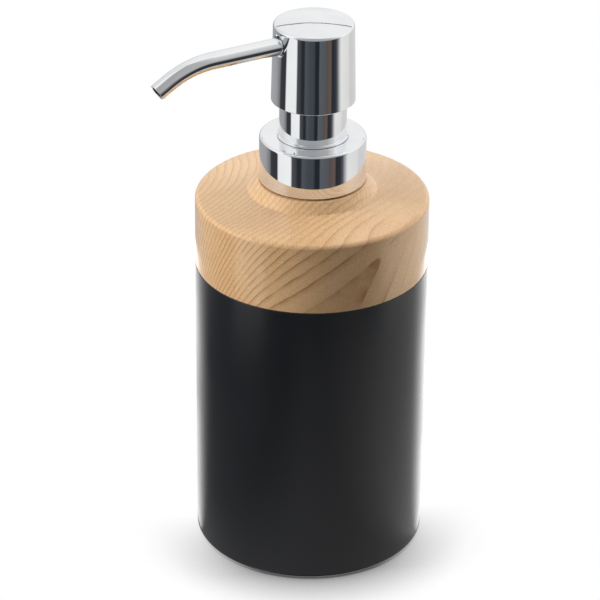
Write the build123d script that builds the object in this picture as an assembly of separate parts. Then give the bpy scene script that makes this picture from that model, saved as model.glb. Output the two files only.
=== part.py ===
"""Soap pump dispenser: a black cylindrical bottle, a turned wooden collar and a chromed lotion pump.

Millimetres, +Z up. The origin is the centre of the foot pad's underside, on the surface that the bottle
stands on, and the pump's axis is the Z axis. The spout points along -Y, which is the front.

Every piece is written to parts/NODE.step. The bodies that move are, from the bottle up:
  pump body   rises as the closure is unscrewed
  closure     turns on the pump body, on the neck's thread
  piston      slides in the pump body's cylinder, on the return spring
  head        turns on the piston, so that the spout points any way
  two balls   lift off their seats as the soap passes
"""
from build123d import *
from math import cos, radians, sin, sqrt, tan
import os

# ---------------------------------------------------------------- driving dimensions
# Bottle
BODY_DIAMETER = 70.0
SHELL_HEIGHT = 91.8         # from the shell's bottom edge to the seam under the wood
SHELL_WALL = 3.0
FLOOR_THICKNESS = 3.4
SHELL_FOOT_ROUND = 1.0
SEAM_ROUND = 0.3            # the shell's and the wood's edges at the seam
SPIGOT_HEIGHT = 5.0         # thin rim that the wood and the shoulder seat on
SPIGOT_WALL = 1.5
FOOT_PAD_INSET = 6.0        # from the shell's side to the pad's edge
FOOT_PAD_THICKNESS = 1.4
FOOT_PAD_PROUD = 0.4        # how far the pad lifts the shell off the surface

# Wooden collar
WOOD_SIDE_HEIGHT = 22.0     # from the seam to the top's outer edge
WOOD_TOP_RISE = 1.9         # the top climbs this much from its edge to the boss
WOOD_EDGE_ROUND = 1.3
BOSS_HEIGHT = 3.3
BOSS_LEDGE = 0.5            # the boss's top is this much wider than the closure, all round
BOSS_FLARE = 2.8            # and its foot this much wider than its top
BOSS_FOOT_ROUND = 1.2
BOSS_TOP_ROUND = 0.4

# Shoulder and threaded neck
NECK_THREAD_DIAMETER = 27.4
NECK_THREAD_DEPTH = 1.1
NECK_BARREL_LEDGE = 0.25    # the plain part inside the wood is this much larger than the thread
NECK_WALL = 1.6             # behind the thread
SHOULDER_THICKNESS = 3.6
SEAL_GROOVE_WIDTH = 2.2
SEAL_GROOVE_DEPTH = 1.5

# Closure
THREAD_LEAD = 4.23          # six turns to the inch
NECK_THREAD_TURNS = 1.25
CAP_THREAD_TURNS = 1.0
THREAD_ROOT_WIDTH = 2.3
THREAD_CREST_WIDTH = 0.9
CLOSURE_HEIGHT = 13.8
CLOSURE_GAP = 0.5           # shadow line between the closure and the boss
CLOSURE_TOP_ROUND = 0.8
COVER_WALL = 0.6
CAP_WALL = 1.4              # outside the thread
CAP_WEB_THICKNESS = 1.2
CLOSURE_HOLE_INSET = 0.5    # the closure's hole is this much smaller than the tower, all round

# Pump cylinder and dip tube
GASKET_THICKNESS = 1.2
FLANGE_THICKNESS = 1.4
CYLINDER_BORE = 13.0
CYLINDER_WALL = 1.2
SPRING_LENGTH = 26.0        # fitted, with the pump up
SEAT_HOLE_DIAMETER = 3.4
INLET_BALL_DIAMETER = 5.5
INLET_BALL_LIFT = 1.5
BALL_SIDE_GAP = 0.75        # round the inlet ball, for the soap to pass
DIP_TUBE_DIAMETER = 5.6
DIP_TUBE_BORE = 3.8
DIP_SOCKET_DEPTH = 9.0
DIP_TUBE_CLEARANCE = 2.0    # from the tube's lowest tip to the floor
DIP_TUBE_CUT_DEGREES = 30.0
VENT_DIAMETER = 1.2

# Guide tower
TOWER_DIAMETER = 20.0
TOWER_WALL = 1.0
TOWER_OVERLAP = 2.8         # how far its top reaches into the head, with the pump up
TOWER_FOOT_LEDGE = 0.7
TOWER_FOOT_HEIGHT = 0.5
TOWER_FOOT_ROUND = 0.4
GUIDE_WALL = 2.15
GUIDE_HEIGHT = 5.8          # above the closure's top
GUIDE_PLUG_DEPTH = 5.4
SNAP_BEAD = 0.3

# Stem, piston and spring
STROKE = 11.0
STEM_DIAMETER = 7.6
STEM_STEP = 0.8             # from the stem's side down to the spigot that carries the piston
STEM_SPIGOT_WALL = 0.7
PISTON_HEIGHT = 8.0
PISTON_LAND_DROP = 1.5      # the stem's shoulder sits this far under the piston's lip
PISTON_GROOVE_DEPTH = 1.6
RETAINER_FLANGE_LEDGE = 1.4 # beyond the spigot
RETAINER_FLANGE_HEIGHT = 1.2
RETAINER_PLUG_LENGTH = 5.0
RETAINER_WALL = 1.0
SPRING_SIDE_GAP = 0.5       # between the spring and the cylinder
SPRING_WIRE = 0.9
SPRING_TURNS = 8.0
OUTLET_BALL_DIAMETER = 5.0
OUTLET_BALL_LIFT = 0.9
OUTLET_SIDE_GAP = 0.45      # round the outlet ball
STEM_GRIP_LENGTH = 6.6      # how far the stem goes into the head's core

# Head and spout
HEAD_TOWER_GAP = 1.2        # between the tower and the head's skirt
HEAD_SKIRT_WALL = 1.3
HEAD_TAPER = 0.55           # the head's top is this much smaller than its bottom, all round
HEAD_SIDE_HEIGHT = 24.0
HEAD_DOME_RISE = 1.0
HEAD_EDGE_ROUND = 0.9
HEAD_BOTTOM_ROUND = 0.3
HEAD_SEAT_STEP = 0.5        # from the skirt's bore in to the bore that grips the core
HEAD_TOP_WALL = 1.1
CORE_BOSS_WALL = 1.8
CORE_TOP_THICKNESS = 1.6
CORE_RIM_THICKNESS = 1.1
CORE_RIB_THICKNESS = 1.0
CORE_RIB_COUNT = 6
SPOUT_HEADROOM = 1.2        # from the tube up to the head's ceiling
SPOUT_DIAMETER = 5.2
SPOUT_WALL = 0.6
SPOUT_BOSS_WALL = 1.6
SPOUT_INNER_END = 3.8       # distance of the tube's inner end from the pump's axis
SPOUT_STRAIGHT_END = 33.5   # distance from the axis at which the bend starts
SPOUT_BEND_RADIUS = 28.0
SPOUT_BEND_DEGREES = 31.0
SPOUT_TIP_LENGTH = 4.2
SPOUT_HOLE_GAP = 0.4        # between the tube and the head's hole
SPOUT_HOLE_ROUND = 0.5
CHANNEL_DIAMETER = 3.6      # along the spout's axis
RISER_DIAMETER = 3.2        # from the outlet ball up to that channel
SPOUT_SEAL_WIDTH = 1.4
SPOUT_SEAL_DEPTH = 0.8
SPOUT_SEAL_SETBACK = 7.0    # distance of the seal's middle from the pump's axis

# Clearances
GLUE_GAP = 0.05             # all round a bonded joint
PLUG_GAP = 0.1              # between the shoulder and the shell
TURNING_GAP = 0.1           # faces that turn on each other
RUNNING_GAP = 0.05          # radial, a shaft or piston in its bore
THREAD_GAP = 0.2            # between the two threads, radially and along the axis
PRESS_GAP = 0.6             # left between the head and the closure, fully pressed

# ---------------------------------------------------------------- radii and levels that follow
body_r = BODY_DIAMETER / 2
shell_inner_r = body_r - SHELL_WALL
spigot_r = shell_inner_r + SPIGOT_WALL
cylinder_r = CYLINDER_BORE / 2
pad_r = body_r - FOOT_PAD_INSET
housing_r = cylinder_r + CYLINDER_WALL
chamber_r = INLET_BALL_DIAMETER / 2 + BALL_SIDE_GAP
neck_thread_r = NECK_THREAD_DIAMETER / 2
neck_root_r = neck_thread_r - NECK_THREAD_DEPTH
neck_bore_r = neck_root_r - NECK_WALL
barrel_r = neck_thread_r + NECK_BARREL_LEDGE
flange_r = neck_root_r - 0.1
cap_bore_r = neck_thread_r + THREAD_GAP
cap_r = cap_bore_r + CAP_WALL
closure_r = cap_r + COVER_WALL
boss_r = closure_r + BOSS_LEDGE
tower_r = TOWER_DIAMETER / 2
closure_hole_r = tower_r - CLOSURE_HOLE_INSET
stem_r = STEM_DIAMETER / 2
stem_spigot_r = stem_r - STEM_STEP
stem_bore_r = stem_spigot_r - STEM_SPIGOT_WALL
core_boss_r = stem_r + CORE_BOSS_WALL
outlet_chamber_r = OUTLET_BALL_DIAMETER / 2 + OUTLET_SIDE_GAP
outlet_hole_r = outlet_chamber_r - 1.35
spout_r = SPOUT_DIAMETER / 2
spout_boss_r = spout_r + SPOUT_BOSS_WALL
spout_hole_r = spout_r + SPOUT_HOLE_GAP
head_bore_r = tower_r + HEAD_TOWER_GAP
head_seat_r = head_bore_r - HEAD_SEAT_STEP
head_bottom_r = head_bore_r + HEAD_SKIRT_WALL
head_top_r = head_bottom_r - HEAD_TAPER

shell_z = FOOT_PAD_PROUD
floor_z = shell_z + FLOOR_THICKNESS
seam_z = shell_z + SHELL_HEIGHT
spigot_z = seam_z + SPIGOT_HEIGHT
wood_ceiling_z = spigot_z + PLUG_GAP
wood_edge_z = seam_z + WOOD_SIDE_HEIGHT
boss_foot_z = wood_edge_z + WOOD_TOP_RISE
boss_top_z = boss_foot_z + BOSS_HEIGHT
closure_z = boss_top_z + CLOSURE_GAP
closure_top_z = closure_z + CLOSURE_HEIGHT
cap_top_z = closure_top_z - COVER_WALL
web_z = cap_top_z - CAP_WEB_THICKNESS
flange_top_z = web_z - TURNING_GAP
flange_z = flange_top_z - FLANGE_THICKNESS
neck_top_z = flange_z - GASKET_THICKNESS
tower_z = closure_top_z + TURNING_GAP
head_z = closure_top_z + PRESS_GAP + STROKE
tower_top_z = head_z + TOWER_OVERLAP
head_edge_z = head_z + HEAD_SIDE_HEIGHT
head_ceiling_z = head_edge_z - HEAD_TOP_WALL
core_z = tower_top_z + STROKE + PRESS_GAP
spout_z = head_ceiling_z - SPOUT_HEADROOM - SPOUT_DIAMETER / 2
stem_top_z = core_z - 0.2
plug_z = flange_top_z - GUIDE_PLUG_DEPTH
piston_top_z = plug_z - TURNING_GAP
piston_z = piston_top_z - PISTON_HEIGHT
cylinder_floor_z = piston_z - SPRING_LENGTH
outlet_seat_z = stem_top_z - OUTLET_BALL_DIAMETER - OUTLET_BALL_LIFT


# ---------------------------------------------------------------- helpers
def turned(*outline):
    """A solid turned about Z from (radius, height) or (radius, height, corner round) points."""
    face = make_face(Polyline(*[point[:2] for point in outline], close=True))
    for point in outline:
        if len(point) == 3:
            corner = face.vertices().sort_by_distance((point[0], point[1], 0))[0]
            face = face.face().fillet_2d(point[2], [corner])
    return revolve(Plane.XZ * face, Axis.Z)


def rounded_ring(inner_r, outer_r, low, high, corner):
    """A ring about Z of rectangular section, with all four corners rounded."""
    return turned(
        (inner_r, low, corner), (outer_r, low, corner), (outer_r, high, corner), (inner_r, high, corner)
    )


def rod(radius, low, high):
    """A plain cylinder about Z, from one height to another."""
    return Pos(0, 0, low) * Cylinder(radius, high - low, align=(Align.CENTER, Align.CENTER, Align.MIN))


def spout_rod(radius, start, end):
    """A cylinder along -Y on the spout's axis, between two distances from the pump's axis."""
    return Pos(0, -start, spout_z) * Rot(90, 0, 0) * Cylinder(
        radius, end - start, align=(Align.CENTER, Align.CENTER, Align.MIN)
    )


def thread_ridge(root_r, crest_r, start_z, start_turn, turns):
    """One helical ridge, with its root at root_r, its crest at crest_r and its middle on the helix."""
    corners = [
        (root_r, -THREAD_ROOT_WIDTH / 2),
        (crest_r, -THREAD_CREST_WIDTH / 2),
        (crest_r, THREAD_CREST_WIDTH / 2),
        (root_r, THREAD_ROOT_WIDTH / 2),
    ]
    edges = [
        Helix(THREAD_LEAD, THREAD_LEAD * turns, r, center=(0, 0, z)).edge() for r, z in corners
    ]
    sides = [Face.make_surface_from_curves(edges[i], edges[(i + 1) % 4]) for i in range(4)]
    ends = [Face(Wire.make_polygon([edge @ t for edge in edges])) for t in (0, 1)]
    return Pos(0, 0, start_z) * Rot(0, 0, 360 * start_turn) * Solid(Shell(sides + ends))


# ---------------------------------------------------------------- bottle
def bottle_shell():
    """Moulded tumbler with a recess under its floor and a thin spigot round its mouth."""
    recess_r = pad_r + GLUE_GAP
    recess_z = shell_z + FOOT_PAD_THICKNESS - FOOT_PAD_PROUD
    return turned(
        (0, recess_z),
        (recess_r, recess_z),
        (recess_r, shell_z),
        (body_r, shell_z, SHELL_FOOT_ROUND),
        (body_r, seam_z, SEAM_ROUND),
        (spigot_r, seam_z),
        (spigot_r, spigot_z, SPIGOT_WALL / 4),
        (shell_inner_r, spigot_z),
        (shell_inner_r, floor_z, SHELL_WALL / 2),
        (0, floor_z),
    )


def foot_pad():
    """Soft disc stuck in the recess. Its underside is the face that the bottle stands on."""
    round_r = FOOT_PAD_PROUD / 2
    return turned((0, 0), (pad_r, 0, round_r), (pad_r, FOOT_PAD_THICKNESS), (0, FOOT_PAD_THICKNESS))


def wood_collar():
    """Turned collar, hollowed underneath for the spigot and bored for the neck."""
    bore_r = barrel_r + GLUE_GAP
    socket_r = spigot_r + GLUE_GAP
    return turned(
        (socket_r, seam_z),
        (body_r, seam_z, SEAM_ROUND),
        (body_r, wood_edge_z, WOOD_EDGE_ROUND),
        (boss_r + BOSS_FLARE, boss_foot_z, BOSS_FOOT_ROUND),
        (boss_r, boss_top_z, BOSS_TOP_ROUND),
        (bore_r, boss_top_z),
        (bore_r, wood_ceiling_z),
        (socket_r, wood_ceiling_z),
    )


def seal_levels():
    """Bottom and top of the groove in the shoulder's rim."""
    middle = wood_ceiling_z - SHOULDER_THICKNESS / 2
    return middle - SEAL_GROOVE_WIDTH / 2, middle + SEAL_GROOVE_WIDTH / 2


def neck_insert():
    """Moulded shoulder that plugs the shell, with the threaded neck that stands up through the wood."""
    shoulder_r = shell_inner_r - PLUG_GAP
    groove_r = shoulder_r - SEAL_GROOVE_DEPTH
    shoulder_z = wood_ceiling_z - SHOULDER_THICKNESS
    groove_low, groove_high = seal_levels()
    barrel_top_z = boss_top_z - GLUE_GAP
    insert = turned(
        (neck_bore_r, shoulder_z),
        (shoulder_r, shoulder_z),
        (shoulder_r, groove_low),
        (groove_r, groove_low),
        (groove_r, groove_high),
        (shoulder_r, groove_high),
        (shoulder_r, wood_ceiling_z),
        (barrel_r, wood_ceiling_z),
        (barrel_r, barrel_top_z),
        (neck_root_r, barrel_top_z),
        (neck_root_r, neck_top_z, 0.3),
        (neck_bore_r, neck_top_z, 0.3),
    )
    return insert + thread_ridge(neck_root_r - 0.3, neck_thread_r, neck_thread_z(), 0, NECK_THREAD_TURNS)


def neck_thread_z():
    """Middle of the neck's thread where it starts. Its top ends a little under the neck's rim."""
    return neck_top_z - 0.9 - THREAD_ROOT_WIDTH / 2 - THREAD_LEAD * NECK_THREAD_TURNS


def shoulder_seal():
    """Rubber ring, drawn as squeezed between the groove's floor and the shell."""
    groove_low, groove_high = seal_levels()
    inner_r = shell_inner_r - PLUG_GAP - SEAL_GROOVE_DEPTH
    squeeze = (shell_inner_r - inner_r) * 0.4
    low, high = groove_low + 0.1, groove_high - 0.1
    return rounded_ring(inner_r, shell_inner_r, low, high, squeeze)


# ---------------------------------------------------------------- closure
def closure_cap():
    """Screw ring inside the closure. Its web holds the pump's flange down on the neck."""
    rim_z = closure_z + 0.2
    cap = turned(
        (cap_bore_r, rim_z),
        (cap_r, rim_z),
        (cap_r, cap_top_z),
        (closure_hole_r, cap_top_z),
        (closure_hole_r, web_z),
        (cap_bore_r, web_z),
    )
    middle_gap = (THREAD_ROOT_WIDTH + THREAD_CREST_WIDTH) / 2 + THREAD_GAP
    lowest = closure_z + 0.5 + THREAD_ROOT_WIDTH / 2
    start_turn = (lowest - (neck_thread_z() - middle_gap)) / THREAD_LEAD
    crest_r = neck_root_r + THREAD_GAP
    return cap + thread_ridge(cap_bore_r + 0.3, crest_r, lowest, start_turn, CAP_THREAD_TURNS)


def closure_cover():
    """Chromed sleeve over the screw ring."""
    return turned(
        (cap_r, closure_z),
        (closure_r, closure_z, COVER_WALL / 3),
        (closure_r, closure_top_z, CLOSURE_TOP_ROUND),
        (closure_hole_r, closure_top_z),
        (closure_hole_r, cap_top_z),
        (cap_r, cap_top_z),
    )


# ---------------------------------------------------------------- pump body
def neck_gasket():
    """Flat ring between the pump's flange and the neck's rim."""
    inner_r = housing_r + 2 * TURNING_GAP
    return turned((inner_r, neck_top_z), (flange_r, neck_top_z), (flange_r, flange_z), (inner_r, flange_z))


def pump_housing():
    """Pump cylinder: flange, bore, spring ledge, valve chamber with its ball seat, and dip tube socket."""
    hole_r = SEAT_HOLE_DIAMETER / 2
    tube_r = DIP_TUBE_DIAMETER / 2
    chamber_wall_r = chamber_r + CYLINDER_WALL
    seat_z = inlet_seat_z()
    socket_top_z = seat_z - 1.4
    socket_z = socket_top_z - DIP_SOCKET_DEPTH
    housing = turned(
        (cylinder_r, flange_top_z),
        (flange_r, flange_top_z, 0.3),
        (flange_r, flange_z),
        (housing_r, flange_z),
        (housing_r, cylinder_floor_z - CYLINDER_WALL, 0.8),
        (chamber_wall_r, cylinder_floor_z - 2 * CYLINDER_WALL),
        (chamber_wall_r, socket_z, 0.4),
        (tube_r, socket_z),
        (tube_r, socket_top_z),
        (hole_r, socket_top_z),
        (hole_r, seat_z),
        (chamber_r, seat_z + chamber_r - hole_r),
        (chamber_r, cylinder_floor_z),
        (cylinder_r, cylinder_floor_z),
    )
    snap_z = plug_z + GUIDE_PLUG_DEPTH / 2
    groove_r = cylinder_r + SNAP_BEAD + RUNNING_GAP
    housing -= rod(groove_r, snap_z - 0.7, snap_z + 0.7)
    housing -= Pos(0, 0, piston_top_z - 1.6) * Rot(0, 90, 0) * rod(VENT_DIAMETER / 2, 0, housing_r + 1)
    stop_low = inlet_ball_z() + INLET_BALL_DIAMETER / 2 + INLET_BALL_LIFT
    for turn in range(3):
        nub = Pos(chamber_r - 0.7, 0, stop_low) * Box(
            2.0, 1.0, cylinder_floor_z - stop_low, align=(Align.CENTER, Align.CENTER, Align.MIN)
        )
        housing += Rot(0, 0, 120 * turn) * nub
    return housing


def inlet_seat_z():
    """Level of the sharp round edge that the inlet ball rests on."""
    room_above_ball = 1.5
    ball_top = INLET_BALL_DIAMETER / 2 + inlet_ball_rise()
    return cylinder_floor_z - room_above_ball - INLET_BALL_LIFT - ball_top


def inlet_ball_rise():
    """Height of the ball's centre over the seat's edge, where the ball touches the 45 degree cone."""
    radius = INLET_BALL_DIAMETER / 2
    return radius * sqrt(2) - SEAT_HOLE_DIAMETER / 2 + RUNNING_GAP


def inlet_ball_z():
    return inlet_seat_z() + inlet_ball_rise()


def inlet_ball():
    return Pos(0, 0, inlet_ball_z()) * Sphere(INLET_BALL_DIAMETER / 2)


def dip_tube():
    """Soft tube from the valve to the bottle's floor, cut at a slant so that it can't seal on the floor."""
    top = inlet_seat_z() - 1.4
    low = floor_z + DIP_TUBE_CLEARANCE
    radius = DIP_TUBE_DIAMETER / 2
    tube = rod(radius, low, top) - rod(DIP_TUBE_BORE / 2, low, top)
    slant = Pos(0, 0, low + radius * tan(radians(DIP_TUBE_CUT_DEGREES)))
    blade = Box(4 * radius, 4 * radius, 4 * radius, align=(Align.CENTER, Align.CENTER, Align.MAX))
    return tube - slant * Rot(DIP_TUBE_CUT_DEGREES, 0, 0) * blade


def guide_tower():
    """Chromed tower that the head slides over. It snaps into the cylinder and guides the stem."""
    foot_r = tower_r + TOWER_FOOT_LEDGE
    guide_top_z = closure_top_z + GUIDE_HEIGHT
    bore_r = stem_r + RUNNING_GAP
    guide_r = bore_r + GUIDE_WALL
    plug_r = cylinder_r - RUNNING_GAP / 2
    hub_r = closure_hole_r - 2 * TURNING_GAP
    floor_top_z = tower_z + TOWER_WALL
    foot_top_z = tower_z + TOWER_FOOT_HEIGHT
    tower = turned(
        (bore_r, plug_z),
        (plug_r, plug_z, 0.4),
        (plug_r, flange_top_z),
        (hub_r, flange_top_z),
        (hub_r, tower_z),
        (foot_r, tower_z),
        (foot_r, foot_top_z, TOWER_FOOT_HEIGHT / 2),
        (tower_r, foot_top_z, TOWER_FOOT_ROUND),
        (tower_r, tower_top_z, 0.3),
        (tower_r - TOWER_WALL, tower_top_z),
        (tower_r - TOWER_WALL, floor_top_z),
        (guide_r, floor_top_z),
        (guide_r, guide_top_z, 0.5),
        (bore_r, guide_top_z, 0.3),
    )
    snap_z = plug_z + GUIDE_PLUG_DEPTH / 2
    bead_r = cylinder_r + SNAP_BEAD
    root_r = plug_r - 0.5
    return tower + turned(
        (root_r, snap_z - 0.6), (bead_r, snap_z - 0.2), (bead_r, snap_z + 0.2), (root_r, snap_z + 0.6)
    )


def return_spring():
    """Compression spring between the cylinder's ledge and the piston."""
    wire_r = SPRING_WIRE / 2
    low = cylinder_floor_z + wire_r + 0.02
    height = SPRING_LENGTH - SPRING_WIRE - 0.04
    mean_r = cylinder_r - SPRING_SIDE_GAP - wire_r
    path = Helix(height / SPRING_TURNS, height, mean_r, center=(0, 0, low))
    section = Plane(origin=path @ 0, z_dir=path % 0) * Circle(wire_r)
    return sweep(section, path=path, is_frenet=True)


# ---------------------------------------------------------------- piston
def piston():
    """Piston seal with two wiping lips. The stem turns inside it."""
    bore_r = stem_spigot_r + RUNNING_GAP
    lip_r = cylinder_r - RUNNING_GAP
    waist_r = lip_r - 0.5
    land_z = piston_top_z - PISTON_LAND_DROP
    land_r = stem_r + 0.6
    groove_z = land_z - PISTON_GROOVE_DEPTH
    return turned(
        (bore_r, piston_z),
        (lip_r, piston_z, 0.2),
        (lip_r, piston_z + 1.2),
        (waist_r, piston_z + 1.7),
        (waist_r, piston_top_z - 1.8),
        (lip_r, piston_top_z - 1.0),
        (lip_r, piston_top_z),
        (lip_r - 0.6, piston_top_z),
        (waist_r - 0.6, groove_z),
        (land_r, groove_z),
        (land_r, land_z),
        (bore_r, land_z),
    )


# ---------------------------------------------------------------- head
def stem():
    """Hollow stem. Its lower spigot carries the piston, and the outlet ball sits in its upper end."""
    shoulder_z = piston_top_z - PISTON_LAND_DROP + TURNING_GAP / 2
    spigot_end_z = piston_z - TURNING_GAP / 2
    throat_z = outlet_seat_z - 1.0
    return turned(
        (stem_bore_r, spigot_end_z),
        (stem_spigot_r, spigot_end_z),
        (stem_spigot_r, shoulder_z),
        (stem_r, shoulder_z),
        (stem_r, stem_top_z),
        (outlet_chamber_r, stem_top_z),
        (outlet_chamber_r, outlet_seat_z + outlet_chamber_r - outlet_hole_r),
        (outlet_hole_r, outlet_seat_z),
        (outlet_hole_r, throat_z),
        (stem_bore_r, throat_z - abs(stem_bore_r - outlet_hole_r)),
    )


def outlet_ball():
    """Ball in the stem's upper end. It rests on a 45 degree cone and lifts to the core's ceiling."""
    radius = OUTLET_BALL_DIAMETER / 2
    centre = outlet_seat_z + radius * sqrt(2) - outlet_hole_r + RUNNING_GAP
    return Pos(0, 0, centre) * Sphere(radius)


def stem_retainer():
    """Plug pressed into the stem's lower end. Its flange holds the piston on."""
    top = piston_z - TURNING_GAP / 2
    edge_r = stem_spigot_r + RETAINER_FLANGE_LEDGE
    hole_r = stem_bore_r - RETAINER_WALL
    return turned(
        (hole_r, top - RETAINER_FLANGE_HEIGHT),
        (edge_r, top - RETAINER_FLANGE_HEIGHT, 0.3),
        (edge_r, top),
        (stem_bore_r, top),
        (stem_bore_r, top + RETAINER_PLUG_LENGTH, 0.3),
        (hole_r, top + RETAINER_PLUG_LENGTH),
    )


def head_core():
    """Moulded core that joins the stem to the spout and grips the chromed cap from inside."""
    rim_r = head_seat_r - RUNNING_GAP / 2
    rim_inner_r = rim_r - CORE_RIM_THICKNESS
    top_z = head_ceiling_z - RUNNING_GAP
    disc_z = top_z - CORE_TOP_THICKNESS
    boss_z = stem_top_z - STEM_GRIP_LENGTH
    core = turned(
        (0, boss_z),
        (core_boss_r, boss_z, 0.5),
        (core_boss_r, disc_z),
        (rim_inner_r, disc_z),
        (rim_inner_r, core_z),
        (rim_r, core_z),
        (rim_r, top_z),
        (0, top_z),
    )
    rib_start, rib_end = core_boss_r - 0.5, rim_r - CORE_RIM_THICKNESS / 2
    rib = Pos((rib_start + rib_end) / 2, 0, core_z + 0.5) * Box(
        rib_end - rib_start, CORE_RIB_THICKNESS, disc_z - core_z, align=(Align.CENTER, Align.CENTER, Align.MIN)
    )
    for turn in range(CORE_RIB_COUNT):
        core += Rot(0, 0, 360 / CORE_RIB_COUNT * turn) * rib
    core += spout_rod(spout_boss_r, 0, rim_r) & rod(rim_r - 0.2, core_z, top_z - 0.2)
    core -= rod(stem_r, boss_z, stem_top_z)
    core -= rod(RISER_DIAMETER / 2, stem_top_z, spout_z)
    core -= Pos(0, 0, stem_top_z) * Box(
        2 * outlet_chamber_r, 1.0, 1.2, align=(Align.CENTER, Align.CENTER, Align.MIN)
    )
    core -= spout_rod(CHANNEL_DIAMETER / 2, -CHANNEL_DIAMETER / 2, SPOUT_INNER_END)
    core -= spout_rod(spout_r, SPOUT_INNER_END, rim_r + 1)
    half = SPOUT_SEAL_WIDTH / 2
    return core - spout_rod(spout_r + SPOUT_SEAL_DEPTH, SPOUT_SEAL_SETBACK - half, SPOUT_SEAL_SETBACK + half)


def spout_seal():
    """Rubber ring round the spout's inner end."""
    half = SPOUT_SEAL_WIDTH / 2 - 0.05
    outer_r = spout_r + SPOUT_SEAL_DEPTH
    ring = rounded_ring(spout_r, outer_r, -half, half, SPOUT_SEAL_DEPTH * 0.4)
    return Pos(0, -SPOUT_SEAL_SETBACK, spout_z) * Rot(90, 0, 0) * ring


def spout_path():
    """Centreline of the spout: level, then bent down, then straight to its tip."""
    bend_start = Vector(0, -SPOUT_STRAIGHT_END, spout_z)
    turn = radians(SPOUT_BEND_DEGREES)
    bend_end = bend_start + Vector(0, -sin(turn), cos(turn) - 1) * SPOUT_BEND_RADIUS
    tip = bend_end + Vector(0, -cos(turn), -sin(turn)) * SPOUT_TIP_LENGTH
    level = Line(Vector(0, -SPOUT_INNER_END, spout_z), bend_start)
    bend = TangentArc(bend_start, bend_end, tangent=(0, -1, 0))
    return level + bend + Line(bend_end, tip)


def spout_tube():
    """Chromed tube, pressed into the core."""
    path = spout_path()
    start = Plane(origin=path @ 0, z_dir=path % 0)
    tube = sweep(start * Circle(spout_r), path=path)
    tube -= sweep(start * Circle(spout_r - SPOUT_WALL), path=path)
    tip_edges = tube.edges().filter_by(GeomType.CIRCLE).sort_by(Axis.Y)[:2]
    return chamfer(tip_edges, 0.15)


def head_cap():
    """Chromed cap, slightly tapered, with a low dome and a rimmed hole for the spout."""
    crown_z = head_edge_z + HEAD_DOME_RISE
    sides = Polyline((0, crown_z), (0, head_z), (head_bottom_r, head_z), (head_top_r, head_edge_z))
    dome = TangentArc((0, crown_z), (head_top_r, head_edge_z), tangent=(1, 0))
    face = make_face([*sides.edges(), dome.edge()]).face()
    rounds = ((head_top_r, head_edge_z, HEAD_EDGE_ROUND), (head_bottom_r, head_z, HEAD_BOTTOM_ROUND))
    for r, z, size in rounds:
        corner = face.vertices().sort_by_distance((r, z, 0))[0]
        face = face.fillet_2d(size, [corner])
    cap = revolve(Plane.XZ * face, Axis.Z)
    cap -= rod(head_bore_r, head_z, core_z)
    cap -= rod(head_seat_r, core_z, head_ceiling_z)
    cap -= spout_rod(spout_hole_r, head_seat_r - 1, head_bottom_r + 1)
    return chamfer(cap.edges().filter_by(is_spout_rim), SPOUT_HOLE_ROUND)


def is_spout_rim(edge):
    """True for the closed edge where the spout's hole meets the cap's outer face."""
    middle = edge.position_at(0.5)
    off_axis = sqrt(middle.X**2 + (middle.Z - spout_z) ** 2)
    out = sqrt(middle.X**2 + middle.Y**2)
    return abs(off_axis - spout_hole_r) < 0.05 and out > head_seat_r + (head_top_r - head_seat_r) / 2


# ---------------------------------------------------------------- write the pieces
PIECES = [
    bottle_shell, foot_pad, shoulder_seal, neck_insert, wood_collar,
    closure_cap, closure_cover,
    neck_gasket, pump_housing, guide_tower, dip_tube, return_spring,
    piston,
    head_cap, head_core, spout_tube, spout_seal, stem, stem_retainer,
    inlet_ball, outlet_ball,
]


def main():
    os.makedirs("parts", exist_ok=True)
    for piece in PIECES:
        export_step(piece(), f"parts/{piece.__name__}.step")
    print("height", head_edge_z + HEAD_DOME_RISE, "closure", 2 * closure_r, "spring ledge", cylinder_floor_z)


main()
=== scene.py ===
"""Studio model of a soap pump dispenser: a black bottle, a turned wooden collar and a chromed lotion pump.

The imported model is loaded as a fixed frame, and every piece here is in metres in that frame: +Z up, the
pump's axis on Z, and the spout along -Y. The pieces that show are modelled again for their look. The others
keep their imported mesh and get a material.
"""
import math

import bpy
import bmesh
from bpy.props import FloatProperty, FloatVectorProperty, IntProperty, PointerProperty, StringProperty
from bpy.types import Operator, Panel, PropertyGroup
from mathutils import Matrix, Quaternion, Vector


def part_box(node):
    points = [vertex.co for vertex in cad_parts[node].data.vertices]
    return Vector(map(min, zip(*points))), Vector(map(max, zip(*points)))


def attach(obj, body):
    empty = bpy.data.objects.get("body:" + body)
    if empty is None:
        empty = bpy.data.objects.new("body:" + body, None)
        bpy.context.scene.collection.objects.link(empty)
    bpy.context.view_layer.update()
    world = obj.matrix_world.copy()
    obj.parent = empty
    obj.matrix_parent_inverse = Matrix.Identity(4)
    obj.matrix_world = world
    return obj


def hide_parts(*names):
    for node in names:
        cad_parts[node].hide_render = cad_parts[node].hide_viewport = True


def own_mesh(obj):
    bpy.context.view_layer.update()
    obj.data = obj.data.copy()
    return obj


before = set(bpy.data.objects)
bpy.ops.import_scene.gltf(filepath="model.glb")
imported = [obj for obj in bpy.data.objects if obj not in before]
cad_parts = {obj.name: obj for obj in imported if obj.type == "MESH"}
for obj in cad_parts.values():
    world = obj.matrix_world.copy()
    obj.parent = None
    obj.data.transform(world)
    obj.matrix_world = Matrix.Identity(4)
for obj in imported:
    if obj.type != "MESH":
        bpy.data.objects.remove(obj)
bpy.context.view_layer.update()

bl_info = {
    "name": "Soap pump dispenser",
    "version": (1, 0, 0),
    "blender": (4, 5, 0),
    "location": "3D View > Sidebar > Soap pump",
    "description": "Models the visible pieces of a soap pump dispenser and sets up its studio",
    "category": "Object",
}

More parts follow.
